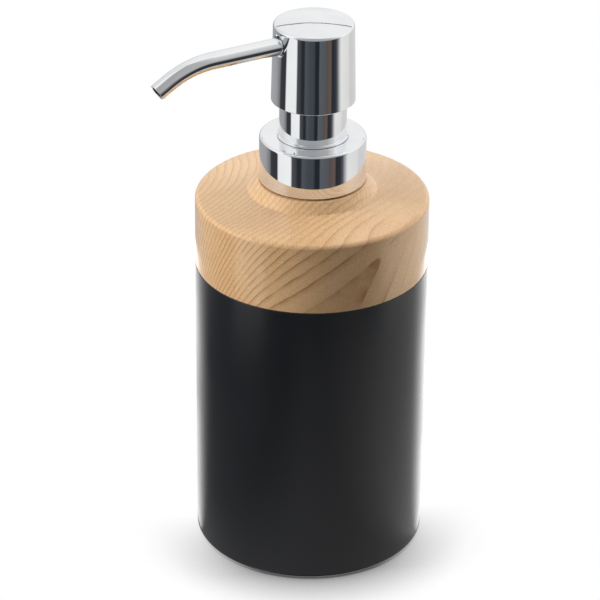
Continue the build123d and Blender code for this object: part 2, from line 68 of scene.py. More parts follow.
MM = 0.001
SAME_PLACE = 0.001 * MM    # vertices closer than this are one
FIT = 0.05 * MM            # gap between pieces that fit into one another


# ---------------------------------------------------------------- small tools
def linear(code):
    """An sRGB hex colour as linear red, green, blue and alpha."""
    values = [int(code[i:i + 2], 16) / 255 for i in (1, 3, 5)]
    return tuple(v / 12.92 if v <= 0.04045 else ((v + 0.055) / 1.055) ** 2.4 for v in values) + (1.0,)


def node_top(name):
    """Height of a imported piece's highest point."""
    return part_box(name)[1][2]


def node_low(name):
    """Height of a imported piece's lowest point."""
    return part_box(name)[0][2]


def node_radius(name):
    """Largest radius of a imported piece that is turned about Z."""
    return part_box(name)[1][0]


def deselect_everything():
    """Leaves no object selected, so that an operator acts on the new piece alone."""
    if bpy.context.object and bpy.context.object.mode != "OBJECT":
        bpy.ops.object.mode_set(mode="OBJECT")
    bpy.ops.object.select_all(action="DESELECT")


def start_piece(name):
    """Renames the primitive that was just added, puts its place into its mesh and opens it in edit mode."""
    piece = bpy.context.object
    piece.name = name
    piece.data.name = name
    bpy.ops.object.transform_apply(location=True, rotation=True, scale=True)
    bpy.ops.object.mode_set(mode="EDIT")
    return piece


def select_vertices(piece, test):
    """Selects the vertices whose place passes the test, and the edges and faces between them."""
    bpy.ops.mesh.select_mode(type="VERT")
    bpy.ops.mesh.select_all(action="DESELECT")
    mesh = bmesh.from_edit_mesh(piece.data)
    for vertex in mesh.verts:
        vertex.select = bool(test(vertex.co))
    mesh.select_flush(True)
    bmesh.update_edit_mesh(piece.data)


def close_up(smooth_degrees=35.0):
    """Merges doubles, turns the faces outwards, leaves edit mode and shades the piece."""
    bpy.ops.mesh.select_all(action="SELECT")
    bpy.ops.mesh.remove_doubles(threshold=SAME_PLACE)
    bpy.ops.mesh.normals_make_consistent(inside=False)
    bpy.ops.object.mode_set(mode="OBJECT")
    bpy.ops.object.shade_smooth_by_angle(angle=math.radians(smooth_degrees))


def apply_modifier(piece, kind, **settings):
    """Adds a modifier with its settings and applies it."""
    modifier = piece.modifiers.new(kind.title(), kind)
    for key, value in settings.items():
        setattr(modifier, key, value)
    bpy.ops.object.modifier_apply(modifier=modifier.name)


def steady_normals(piece):
    """Lets the large faces set the shading, so that a rounded edge doesn't bend what a side mirrors."""
    apply_modifier(piece, "WEIGHTED_NORMAL", keep_sharp=True, weight=80)


def arc(centre, radius, start, end, count):
    """Points on an arc in the outline's plane, from one angle to another in degrees."""
    angles = [math.radians(start + (end - start) * i / count) for i in range(count + 1)]
    return [(centre[0] + radius * math.cos(t), centre[1] + radius * math.sin(t)) for t in angles]


def turned(name, outline, rounds=(), steps=192, closed=False):
    """Turns an outline of (radius, height) corners about Z, as on a lathe. rounds are (corner, size)."""
    deselect_everything()
    bpy.ops.mesh.primitive_plane_add(size=MM, location=(0, 0, 0))
    piece = start_piece(name)
    bpy.ops.mesh.merge(type="CENTER")
    bpy.ops.transform.translate(value=(outline[0][0], 0, outline[0][1]))
    corners = list(outline) + ([outline[0]] if closed else [])
    for (r0, z0), (r1, z1) in zip(corners, corners[1:]):
        step = {"value": (r1 - r0, 0, z1 - z0)}
        bpy.ops.mesh.extrude_vertices_move(TRANSFORM_OT_translate=step)
    bpy.ops.mesh.select_all(action="SELECT")
    bpy.ops.mesh.remove_doubles(threshold=SAME_PLACE)
    for (r, z), size in rounds:
        select_vertices(piece, lambda co: math.hypot(co.x - r, co.z - z) < 2 * SAME_PLACE)
        bpy.ops.mesh.bevel(offset=size, segments=6, affect="VERTICES")
    bpy.ops.mesh.select_all(action="SELECT")
    bpy.ops.mesh.spin(steps=steps, angle=math.tau, center=(0, 0, 0), axis=(0, 0, 1))
    close_up()
    steady_normals(piece)
    return piece


def finish_piece(piece, material, body, slot, *nodes):
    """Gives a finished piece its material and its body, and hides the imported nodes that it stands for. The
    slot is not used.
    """
    piece.data.materials.clear()
    piece.data.materials.append(material)
    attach(piece, body)
    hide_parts(*nodes)


# ---------------------------------------------------------------- node trees
def add_node(tree, kind, links=None, **settings):
    """Adds a node. links maps its inputs to outputs or values; settings are its own properties."""
    node = tree.nodes.new(kind)
    for key, value in settings.items():
        setattr(node, key, value)
    for key, value in (links or {}).items():
        if isinstance(value, bpy.types.NodeSocket):
            tree.links.new(value, node.inputs[key])
        else:
            node.inputs[key].default_value = value
    return node


def set_ramp(ramp, stops, mode="LINEAR"):
    """Sets a colour ramp's stops from (position, colour)."""
    ramp.interpolation = mode
    while len(ramp.elements) > 1:
        ramp.elements.remove(ramp.elements[-1])
    ramp.elements[0].position, ramp.elements[0].color = stops[0]
    for position, colour in stops[1:]:
        ramp.elements.new(position).color = colour


def new_material(name, **values):
    """A material with a Principled shader and its plain values, and the tree and shader to add to."""
    material = bpy.data.materials.new(name)
    material.use_nodes = True
    tree = material.node_tree
    tree.nodes.clear()
    shader = add_node(tree, "ShaderNodeBsdfPrincipled")
    add_node(tree, "ShaderNodeOutputMaterial", {"Surface": shader.outputs["BSDF"]})
    for key, value in values.items():
        shader.inputs[key.replace("_", " ").title().replace("Ior", "IOR")].default_value = value
    material.diffuse_color = shader.inputs["Base Color"].default_value
    return material, tree, shader


def object_place(tree, **mapping):
    """Object coordinates, turned, shifted or scaled by a Mapping node."""
    place = add_node(tree, "ShaderNodeTexCoord").outputs["Object"]
    return add_node(tree, "ShaderNodeMapping", {"Vector": place, **mapping}).outputs["Vector"]


def noise(tree, place, size_mm, detail=3.0, roughness=0.5, stretch=(1, 1, 1)):
    """Noise whose lumps are size_mm across, longer along an axis where stretch is under 1."""
    scale = tuple(s / (size_mm * MM) for s in stretch)
    scaled = add_node(tree, "ShaderNodeVectorMath", {0: place, 1: scale}, operation="MULTIPLY")
    links = {"Vector": scaled.outputs[0], "Scale": 1.0, "Detail": detail, "Roughness": roughness}
    return add_node(tree, "ShaderNodeTexNoise", links, noise_dimensions="3D").outputs["Fac"]


def between(tree, value, low, high, start=0.0, end=1.0):
    """A value carried from one range to another."""
    links = {"Value": value, "From Min": start, "From Max": end, "To Min": low, "To Max": high}
    return add_node(tree, "ShaderNodeMapRange", links).outputs["Result"]


def maths(tree, operation, first, second=0.0, third=0.0):
    """One step of arithmetic."""
    return add_node(tree, "ShaderNodeMath", {0: first, 1: second, 2: third}, operation=operation).outputs[0]


def blend_colour(tree, factor, first, second, kind="MIX"):
    """A mix of two colours, by a factor."""
    mix = add_node(tree, "ShaderNodeMix", data_type="RGBA", blend_type=kind)
    for index, value in ((0, factor), (6, first), (7, second)):
        if isinstance(value, bpy.types.NodeSocket):
            tree.links.new(value, mix.inputs[index])
        else:
            mix.inputs[index].default_value = value
    return mix.outputs[2]


def add_bump(tree, shader, height, depth_mm, strength=1.0):
    """Bump of a real depth under the shader."""
    links = {"Height": height, "Strength": strength, "Distance": depth_mm * MM}
    bump = add_node(tree, "ShaderNodeBump", links)
    tree.links.new(bump.outputs["Normal"], shader.inputs["Normal"])


# ---------------------------------------------------------------- materials
def chrome():
    """Bright chrome plate over polished brass and ABS: a mirror with a faint cool cast.

    Wiping leaves hairlines that dull it a little. They are drawn coarser than they are, so that they show.
    """
    material, tree, shader = new_material(
        "chrome_plate", base_color=linear("#f1f2f4"), metallic=1.0, roughness=0.025
    )
    place = object_place(tree)
    film = noise(tree, place, 9.0, detail=2.0)
    hairlines = noise(tree, place, 0.9, detail=2.0, stretch=(1, 1, 0.08))
    shine = maths(tree, "MULTIPLY", film, hairlines)
    tree.links.new(between(tree, shine, 0.016, 0.05, 0.15, 0.45), shader.inputs["Roughness"])
    tone = between(tree, film, 0.0, 1.0, 0.35, 0.7)
    cast = blend_colour(tree, tone, linear("#f3f4f5"), linear("#eceef1"))
    tree.links.new(cast, shader.inputs["Base Color"])
    add_bump(tree, shader, noise(tree, place, 7.0, detail=1.0, stretch=(1, 1, 0.5)), 0.03, 1.0)
    return material


def black_moulding(colour):
    """Black ABS with a satin gloss from a fine-sparked mould: the sheen wavers a little over the walls.

    The spark grain is drawn about ten times as coarse as it is, so that it still blurs the gloss.
    """
    material, tree, shader = new_material(
        "satin_black_abs", base_color=colour, roughness=0.24, ior=1.53
    )
    place = object_place(tree)
    clouds = noise(tree, place, 26.0, detail=2.0)
    grain = noise(tree, place, 0.35, detail=2.0)
    tree.links.new(between(tree, clouds, 0.2, 0.28, 0.3, 0.7), shader.inputs["Roughness"])
    darker = tuple(c * 0.8 for c in colour[:3]) + (1.0,)
    tree.links.new(blend_colour(tree, clouds, darker, colour), shader.inputs["Base Color"])
    add_bump(tree, shader, grain, 0.004, 0.35)
    return material


# How the collar's log grew, in millimetres along and round its pith.
PITH_BOW = (-0.0213, -0.0305)         # the pith bows to both sides, by the square of the way along it
RING_FLARE = -0.982                   # a ring's radius along the pith, which makes it a horn
CROWDED_YEARS, CROWDED_DEPTH = 6.8, 17.0    # years that are missing near the pith, and how deep that goes
# On one side the rings fold back into slanting planes, which die out under the collar's top.
FOLD_SLOPE, FOLD_START = (73.0, 766.0, -400.0), 41.1
FOLD_TOP, FOLD_DECAY = 109.0, -0.4
FOLD_BLEND = 6.0                      # how softly the two sets of rings meet


def ring_depth(tree, whole, stem):
    """Depth of a point under the bark, in millimetres, with the slow sway and small waver of grown rings."""
    parts = add_node(tree, "ShaderNodeSeparateXYZ", {0: stem}).outputs
    square = maths(tree, "MULTIPLY", parts["Z"], parts["Z"])
    across = maths(tree, "MULTIPLY_ADD", square, PITH_BOW[0], parts["X"])
    along = maths(tree, "MULTIPLY_ADD", square, PITH_BOW[1], parts["Y"])
    squares = maths(tree, "MULTIPLY_ADD", across, across, maths(tree, "MULTIPLY", along, along))
    horn = maths(tree, "MULTIPLY_ADD", parts["Z"], RING_FLARE, maths(tree, "SQRT", squares))
    slant = add_node(tree, "ShaderNodeVectorMath", {0: whole, 1: FOLD_SLOPE}, operation="DOT_PRODUCT")
    planes = maths(tree, "ADD", slant.outputs["Value"], FOLD_START)
    height = add_node(tree, "ShaderNodeSeparateXYZ", {0: whole}).outputs["Z"]
    over = maths(tree, "MAXIMUM", maths(tree, "MULTIPLY_ADD", height, 1 / MM, -FOLD_TOP))
    folded = maths(tree, "MULTIPLY_ADD", maths(tree, "MULTIPLY", over, over), FOLD_DECAY, planes)
    depth = maths(tree, "SMOOTH_MAX", horn, folded, FOLD_BLEND)
    sway = between(tree, noise(tree, whole, 16.0, detail=2.0), -0.9, 0.9)
    waver = between(tree, noise(tree, whole, 3.0, detail=2.0), -0.22, 0.22)
    return maths(tree, "ADD", depth, maths(tree, "ADD", sway, waver))


def ring_colours(tree, depth, look):
    """Each year's colours: pale early wood that darkens into a thin brown line and then starts again."""
    crowding = maths(tree, "EXPONENT", maths(tree, "MULTIPLY", depth, -1 / CROWDED_DEPTH))
    missing = maths(tree, "MULTIPLY", crowding, CROWDED_YEARS)
    years = maths(tree, "MULTIPLY_ADD", depth, 1 / look.ring_width, missing)
    season = maths(tree, "FRACT", maths(tree, "ADD", years, look.ring_start))
    lines = add_node(tree, "ShaderNodeValToRGB", {"Fac": season})
    light, middle, late = (linear(c) for c in (look.wood_light, look.wood_middle, look.wood_late))
    stops = ((0.0, light), (0.5, light), (0.8, middle), (0.93, late), (0.975, late), (1.0, light))
    set_ramp(lines.color_ramp, stops)
    return lines.outputs["Color"]


def lacquered_wood(look):
    """Turned softwood under satin lacquer: pale early wood, thin brown late wood lines, fine fibres.

    The rings are drawn in the solid, so a line runs on from the collar's side over its edge and on to its
    top. The fibres are drawn about ten times as wide as they are, so that they show.
    """
    material, tree, shader = new_material(
        "lacquered_softwood", base_color=linear(look.wood_light), roughness=0.42, ior=1.5,
        coat_weight=1.0, coat_roughness=0.12,
    )
    whole = add_node(tree, "ShaderNodeTexCoord").outputs["Object"]
    stem = add_node(tree, "ShaderNodeMapping", {
        "Vector": whole, "Location": look.pith_place, "Rotation": look.pith_turn, "Scale": (MM, MM, MM),
    }, vector_type="TEXTURE").outputs["Vector"]
    rings = ring_colours(tree, ring_depth(tree, whole, stem), look)
    # The lines are worn in patches, weaker on the turned top, and almost gone on the side past the fold.
    place = add_node(tree, "ShaderNodeSeparateXYZ", {0: whole}).outputs
    on_side = between(tree, place["Y"], 0.0, 0.85, 0.003, 0.01)
    on_top = between(tree, place["Z"], 0.1, 0.5, 0.111, 0.1145)
    worn = between(tree, noise(tree, whole, 7.0, detail=3.0), 0.0, 0.7, 0.4, 0.68)
    worn = maths(tree, "MAXIMUM", worn, maths(tree, "MAXIMUM", on_side, on_top))
    faded = blend_colour(tree, worn, rings, linear(look.wood_light))
    clouds = between(tree, noise(tree, whole, 14.0), 0.0, 0.45, 0.45, 0.7)
    toned = blend_colour(tree, clouds, faded, linear(look.wood_middle))
    # The stem's place is in millimetres already, so the fibres' width isn't turned into metres again.
    fibres = noise(tree, stem, 0.35 / MM, detail=3.0, stretch=(1, 1, 0.06))
    pale = between(tree, fibres, 0.85, 1.12, 0.32, 0.68)
    tinted = add_node(tree, "ShaderNodeVectorMath", {0: toned, "Scale": pale}, operation="SCALE")
    tree.links.new(tinted.outputs["Vector"], shader.inputs["Base Color"])
    tree.links.new(between(tree, fibres, 0.38, 0.5, 0.3, 0.7), shader.inputs["Roughness"])
    add_bump(tree, shader, fibres, 0.012, 0.5)
    return material


def plain_moulding(name, colour, roughness, grain_mm=0.5, **values):
    """Polypropylene or polyethylene as it leaves the mould: soft sheen, faint flow clouds, fine grain."""
    material, tree, shader = new_material(name, base_color=colour, roughness=roughness, **values)
    place = object_place(tree)
    clouds = noise(tree, place, 6.0, detail=2.0)
    darker = tuple(c * 0.88 for c in colour[:3]) + (1.0,)
    tree.links.new(blend_colour(tree, clouds, darker, colour), shader.inputs["Base Color"])
    sheen = between(tree, clouds, roughness - 0.05, roughness + 0.07, 0.3, 0.7)
    tree.links.new(sheen, shader.inputs["Roughness"])
    add_bump(tree, shader, noise(tree, place, grain_mm), 0.01, 0.4)
    return material


def drawn_steel():
    """Drawn and tumbled stainless steel: bright, with short streaks along the wire."""
    material, tree, shader = new_material(
        "drawn_stainless_steel", base_color=linear("#c9cacc"), metallic=1.0, roughness=0.25
    )
    streaks = noise(tree, object_place(tree), 0.3, detail=3.0, stretch=(1, 1, 0.2))
    tree.links.new(between(tree, streaks, 0.18, 0.34, 0.3, 0.7), shader.inputs["Roughness"])
    tone = blend_colour(tree, streaks, linear("#b4b6b9"), linear("#d3d4d6"))
    tree.links.new(tone, shader.inputs["Base Color"])
    return material


# ---------------------------------------------------------------- sizes and colours
def length(name, description, default_mm, **more):
    """A length, in millimetres here and metres in the panel."""
    return FloatProperty(name=name, description=description, default=default_mm * MM, min=0.0,
                         unit="LENGTH", subtype="DISTANCE", precision=5, **more)


def shade(name, description, default):
    """A colour, as sRGB hex."""
    return StringProperty(name=name, description=description, default=default)


class BottleLook(PropertyGroup):
    """Sizes and colour of the bottle's shell."""
    wall: length("Wall", "Thickness of the shell's side", 3.0)
    spigot_wall: length("Spigot wall", "Thickness of the rim inside the wood", 1.5)
    foot_round: length("Foot round", "Rounding of the shell's bottom edge", 1.0)
    seam_round: length("Seam round", "Rounding of the edges at the seam", 0.3)
    floor_top: length("Floor", "Height of the shell's floor inside", 3.8)
    pad_recess: length("Pad recess", "Height of the recess over the foot pad", 1.4)
    black: shade("Black", "Colour of the shell", "#1a1b1f")


class CollarLook(PropertyGroup):
    """Sizes, grain and colours of the wooden collar."""
    side: length("Side", "Height of the side, from the seam to the top's edge", 22.0)
    rise: length("Rise", "How far the top climbs to the boss", 1.9)
    edge_round: length("Edge round", "Rounding of the top's edge", 1.3)
    boss_flare: length("Boss flare", "How far the boss's foot spreads", 2.8)
    bore: length("Bore", "Radius of the bore for the neck", 14.0)
    boss_ledge: length("Boss ledge", "How far the boss reaches past the closure", 0.5)
    wood_light: shade("Early wood", "Pale wood between the lines", "#deb584")
    wood_middle: shade("Darkening wood", "Wood before a line", "#cd9d6b")
    wood_late: shade("Late wood", "The brown lines", "#a57248")
    pith_place: FloatVectorProperty(name="Pith place", description="A point on the pith of the log",
                                    default=(0.0227, 0.0351, 0.115), subtype="TRANSLATION", unit="LENGTH")
    pith_turn: FloatVectorProperty(name="Pith turn", description="How the pith leans in the collar",
                                   default=(math.radians(-119.3), 0.0, math.radians(-114.4)),
                                   subtype="EULER")
    ring_width: FloatProperty(name="Ring width", default=2.35,
                              description="Width of a year's ring, in millimetres")
    ring_start: FloatProperty(name="Ring start", default=0.93,
                              description="Where in a year the pattern starts")


class PumpLook(PropertyGroup):
    """Sizes of the chromed closure and tower, and of the spring."""
    cover_wall: length("Cover wall", "Thickness of the closure's sleeve", 0.6)
    cover_round: length("Cover round", "Rounding of the closure's top edge", 0.8)
    hole: length("Hole", "Radius of the closure's hole", 9.5)
    tower_radius: length("Tower radius", "Radius of the tower", 10.0)
    tower_wall: length("Tower wall", "Thickness of the tower", 1.0)
    foot_step: length("Foot step", "Height of the tower's foot", 0.5)
    guide_wall: length("Guide wall", "Thickness of the guide round the stem", 2.15)
    guide_height: length("Guide height", "Height of the guide over the closure", 5.8)
    plug_radius: length("Plug radius", "Radius of the plug in the cylinder", 6.475)
    spring_wire: length("Spring wire", "Diameter of the spring's wire", 0.9)
    spring_turns: IntProperty(name="Spring turns", description="Number of the spring's turns", default=8,
                              min=1)


class HeadLook(PropertyGroup):
    """Sizes of the chromed head and its spout."""
    skirt_wall: length("Skirt wall", "Thickness of the skirt round the tower", 1.3)
    taper: length("Taper", "How much smaller the top's radius is than the bottom's", 0.55)
    dome: length("Dome", "Rise of the top's dome", 1.0)
    edge_round: length("Edge round", "Rounding of the top edge", 0.9)
    ceiling: length("Ceiling", "Thickness of the top at its edge", 1.1)
    hole_gap: length("Hole gap", "Gap between the spout and its hole", 0.4)
    hole_lip: length("Hole lip", "Chamfer round the spout's hole", 0.5)
    spout_radius: length("Spout radius", "Radius of the spout's tube", 2.6)
    spout_wall: length("Spout wall", "Thickness of the spout's tube", 0.6)
    spout_drop: length("Spout drop", "From the head's side edge down to the spout's axis", 4.9)
    spout_inner: length("Spout start", "Distance of the spout's inner end from the axis", 3.8)
    spout_straight: length("Spout straight", "Distance from the axis at which the bend starts", 33.5)
    spout_bend: length("Spout bend", "Radius of the spout's bend", 28.0)
    spout_angle: FloatProperty(name="Spout angle", description="Angle of the bend",
                               default=math.radians(31.0), subtype="ANGLE")
    spout_tip: length("Spout tip", "Length of the straight tip", 4.2)


class StudioLook(PropertyGroup):
    """Place of the camera and strength of the lights."""
    turn: FloatProperty(name="Turn", description="Azimuth of the camera", default=math.radians(60.0),
                        subtype="ANGLE")
    tilt: FloatProperty(name="Tilt", description="Elevation of the camera", default=0.4929, subtype="ANGLE")
    roll: FloatProperty(name="Roll", description="Roll of the camera", default=0.009, subtype="ANGLE")
    distance: FloatProperty(name="Distance", description="From the camera to its aim", default=0.9684,
                            unit="LENGTH", subtype="DISTANCE")
    aim: FloatVectorProperty(name="Aim", description="Point that the camera looks at",
                             default=(-0.00168, -0.00291, 0.07799), subtype="TRANSLATION", unit="LENGTH")
    lens: FloatProperty(name="Lens", default=191.3,
                        description="Focal length on a 36 mm sensor, in millimetres")
    left_power: FloatProperty(name="Left light", default=6.6, unit="POWER",
                              description="Power of the soft light on the left")
    back_power: FloatProperty(name="Back light", default=5.3, unit="POWER",
                              description="Power of the soft light behind on the right")
    top_power: FloatProperty(name="Top light", default=1.6, unit="POWER",
                             description="Power of the soft light overhead")


# ---------------------------------------------------------------- studio
def from_camera_side(look, azimuth, elevation):
    """Unit direction at an azimuth to the right of the camera's own, and at an elevation, in degrees."""
    turn = look.turn + math.radians(azimuth)
    level = math.cos(math.radians(elevation))
    return Vector((math.sin(turn) * level, -math.cos(turn) * level, math.sin(math.radians(elevation))))


def stage_only(thing, camera=False, glossy=False):
    """Says which rays see a piece of the stage."""
    thing.visible_camera = camera
    thing.visible_glossy = glossy
    thing.visible_diffuse = False
    thing.visible_transmission = False
    thing.visible_shadow = False


def self_lit(name):
    """A matt black material that only glows in white, and its tree and shader."""
    material, tree, shader = new_material(name, base_color=(0.0, 0.0, 0.0, 1.0), roughness=0.9)
    shader.inputs["Emission Color"].default_value = (1.0, 1.0, 1.0, 1.0)
    shader.inputs["Specular IOR Level"].default_value = 0.0
    return material, tree, shader


def lay_floor(look):
    """Pale floor that is white all over, but for the soft shadow that the bottle throws in front."""
    deselect_everything()
    bpy.ops.mesh.primitive_plane_add(size=12.0, location=(0, 0, 0))
    floor = bpy.context.object
    floor.name = "pale_floor"
    material, tree, shader = self_lit("white_paper_floor")
    front = from_camera_side(look, 6, 0)
    place = add_node(tree, "ShaderNodeTexCoord").outputs["Object"]
    facing = add_node(tree, "ShaderNodeVectorMath", {0: place, 1: tuple(front)}, operation="DOT_PRODUCT")
    reach = between(tree, facing.outputs["Value"], 0.0, 1.0, -0.005, 0.03)
    hidden = add_node(tree, "ShaderNodeAmbientOcclusion", {"Distance": 0.027}, samples=16).outputs["AO"]
    open_sky = between(tree, hidden, 0.1, 1.0, 0.42, 0.92)
    glow = maths(tree, "ADD", maths(tree, "MULTIPLY", maths(tree, "SUBTRACT", open_sky, 1.0), reach), 1.0)
    tree.links.new(glow, shader.inputs["Emission Strength"])
    floor.data.materials.append(material)
    stage_only(floor, camera=True)


CARD_RADIUS, CARD_WIDTH = 0.2, 0.164    # the card's outer radius, and its width as a ring
CARD_LIFT = 0.3 * MM                    # over the floor
SHELL_EDGE = (0.034, -0.009)            # across and away from the camera: where the shell turns out of sight


def lay_bounce_card(look):
    """Ring of floor that only the gloss sees: dim in front, and bright behind to light the shell's edges."""
    deselect_everything()
    bpy.ops.mesh.primitive_circle_add(vertices=96, radius=CARD_RADIUS, location=(0, 0, CARD_LIFT),
                                      fill_type="NGON")
    card = start_piece("bounce_card")
    bpy.ops.mesh.select_all(action="SELECT")
    bpy.ops.mesh.inset(thickness=CARD_WIDTH)
    bpy.ops.mesh.delete(type="FACE")
    bpy.ops.object.mode_set(mode="OBJECT")
    material, tree, shader = self_lit("bright_paper_card")
    tree.links.new(card_glow(tree, look), shader.inputs["Emission Strength"])
    card.data.materials.append(material)
    stage_only(card, glossy=True)


def card_glow(tree, look):
    """Glow of the card: brighter near the bottle, on its right, and most of all behind its edges."""
    place = object_place(tree, Rotation=(0, 0, -look.turn))
    parts = add_node(tree, "ShaderNodeSeparateXYZ", {0: place}).outputs
    aside = maths(tree, "SUBTRACT", maths(tree, "ABSOLUTE", parts["X"]), SHELL_EDGE[0])
    behind = maths(tree, "ARCTAN2", maths(tree, "SUBTRACT", parts["Y"], SHELL_EDGE[1]), aside)
    away = add_node(tree, "ShaderNodeVectorMath", {0: place}, operation="LENGTH").outputs["Value"]
    front = between(tree, away, 0.42, 0.2, 0.04, 0.17)
    front = maths(tree, "MULTIPLY", front, between(tree, parts["X"], 0.4, 1.0, -0.06, -0.01))
    back = between(tree, behind, 0.0, 1.5, math.radians(34), math.radians(64))
    right = maths(tree, "GREATER_THAN", parts["X"], 0.0)
    pool = between(tree, behind, 0.0, 0.3, math.radians(-88), math.radians(-30))
    return maths(tree, "MULTIPLY_ADD", right, pool, maths(tree, "ADD", front, back))


# Soft square lights: name, degrees to the right of the camera, elevation, distance, size, and whose power.
SOFTBOXES = (
    ("left_softbox", -75, 27, 0.8, 0.5, "left_power"),
    ("back_softbox", 112, 27, 0.8, 0.5, "back_power"),
    ("top_softbox", 180, 75, 0.9, 0.6, "top_power"),
)
LIGHTS_AIM = Vector((0, 0, 0.09))


def hang_light(name, look, azimuth, elevation, distance, size, power):
    """A soft square light that shades the pieces but is not mirrored in them."""
    towards = from_camera_side(look, azimuth, elevation)
    bpy.ops.object.light_add(type="AREA", location=LIGHTS_AIM + towards * distance)
    light = bpy.context.object
    light.name = name
    light.rotation_euler = towards.to_track_quat("Z", "Y").to_euler()
    light.data.size = size
    light.data.energy = power
    light.visible_glossy = False
    light.visible_camera = False


def paint_walls(scene, look):
    """The studio as the chrome sees it: dark and bright upright panels below, soft white light above."""
    world = bpy.data.worlds.new("soft_studio")
    scene.world = world
    world.use_nodes = True
    tree = world.node_tree
    tree.nodes.clear()
    around = add_node(tree, "ShaderNodeTexCoord").outputs["Generated"]
    turned_back = add_node(tree, "ShaderNodeMapping", {"Vector": around, "Rotation": (0, 0, -look.turn)})
    parts = add_node(tree, "ShaderNodeSeparateXYZ", {0: turned_back.outputs["Vector"]}).outputs
    azimuth = maths(tree, "ARCTAN2", parts["X"], maths(tree, "MULTIPLY", parts["Y"], -1.0))
    share = between(tree, azimuth, 0.0, 1.0, -math.pi, math.pi)
    rise = between(tree, parts["Z"], 0.0, 1.0, -0.12, 0.2)
    walls = blend_colour(tree, rise, panels(tree, share, LOWER_PANELS), panels(tree, share, UPPER_PANELS))
    # A thin grey rail runs along the back wall.
    rail = maths(tree, "COMPARE", parts["Z"], 0.452, 0.007)
    behind = maths(tree, "GREATER_THAN", maths(tree, "ABSOLUTE", azimuth), math.radians(105))
    walls = blend_colour(tree, maths(tree, "MULTIPLY", rail, behind), walls, linear("#7c7d80"))
    rays = add_node(tree, "ShaderNodeLightPath").outputs
    dim = blend_colour(tree, rays["Is Diffuse Ray"], walls, grey(0.2))
    seen = blend_colour(tree, rays["Is Camera Ray"], dim, grey(1.0))
    backdrop = add_node(tree, "ShaderNodeBackground", {"Color": seen, "Strength": 1.0})
    add_node(tree, "ShaderNodeOutputWorld", {"Surface": backdrop.outputs[0]})
    scene.view_settings.view_transform = "Standard"


def grey(value):
    """A grey of a linear value."""
    return (value, value, value, 1.0)


def panels(tree, share, row):
    """Colour of a row of upright panels, by the share of the way round from straight behind."""
    ramp = add_node(tree, "ShaderNodeValToRGB", {"Fac": share})
    set_ramp(ramp.color_ramp, [(azimuth / 360 + 0.5, linear(colour)) for azimuth, colour in row])
    return ramp.outputs["Color"]


# Upright panels round the studio, as (degrees to the right of the camera, colour).
LOWER_PANELS = (
    (-180, "#dedede"), (-172, "#acacae"), (-122, "#a4a4a6"), (-106, "#808183"), (-100, "#3c3e42"),
    (-82, "#34363a"), (-79, "#f6f6f6"), (-48, "#fafafa"), (-45, "#4d5054"), (-37, "#43464c"),
    (-32, "#2a2d31"), (-26, "#2a2d31"), (-22, "#50565b"), (-10, "#454a50"), (2, "#42474f"),
    (6, "#25282c"), (14, "#25282c"), (17, "#5b6065"), (33, "#565a5f"), (37, "#5d504c"),
    (48, "#675a55"), (52, "#2c2e31"), (62, "#34373b"), (68, "#55585b"), (75, "#b9b9ba"),
    (81, "#ecebe9"), (110, "#e6e4e2"), (120, "#d6d4d3"), (180, "#dedede"),
)
UPPER_PANELS = (
    (-180, "#f8f8f8"), (-125, "#e6e6e7"), (-95, "#ffffff"), (-62, "#ffffff"), (-50, "#b4b6b8"),
    (0, "#aaacae"), (50, "#b4b5b6"), (70, "#dcdcdc"), (85, "#ffffff"), (120, "#fafafa"),
    (180, "#f8f8f8"),
)


def place_camera(scene, look):
    """Camera with a long lens, a little above the pump, looking down at the bottle."""
    back = from_camera_side(look, 0, math.degrees(look.tilt))
    bpy.ops.object.camera_add(location=Vector(look.aim) + back * look.distance)
    camera = bpy.context.object
    camera.name = "studio_camera"
    upright = back.to_track_quat("Z", "Y")
    camera.rotation_euler = (upright @ Quaternion((0, 0, 1), look.roll)).to_euler()
    camera.data.lens = look.lens
    camera.data.sensor_width = 36.0
    camera.data.clip_start = 0.01
    scene.camera = camera


# ---------------------------------------------------------------- operators, one for each piece or group
class MakeShell(Operator):
    """Turns the bottle's shell, with its floor, its foot and the rim that the wood sits on"""
    bl_idname = "soap_pump.make_shell"
    bl_label = "Bottle shell"

    def execute(self, context):
        look = context.scene.soap_bottle
        low, top = node_low("bottle_shell"), node_top("bottle_shell")
        seam, side = node_low("wood_collar"), node_radius("bottle_shell")
        inner = side - look.wall
        pad = node_radius("foot_pad") + FIT
        outline = [
            (0, look.pad_recess), (pad, look.pad_recess), (pad, low), (side, low), (side, seam),
            (inner + look.spigot_wall, seam), (inner + look.spigot_wall, top), (inner, top),
            (inner, look.floor_top), (0, look.floor_top),
        ]
        rounds = (
            ((side, low), look.foot_round), ((side, seam), look.seam_round),
            ((inner + look.spigot_wall, top), 0.375 * MM), ((inner, look.floor_top), 1.5 * MM),
        )
        shell = turned("black_shell", outline, rounds)
        finish_piece(shell, black_moulding(linear(look.black)), "bottle", "black_shell", "bottle_shell")
        return {"FINISHED"}


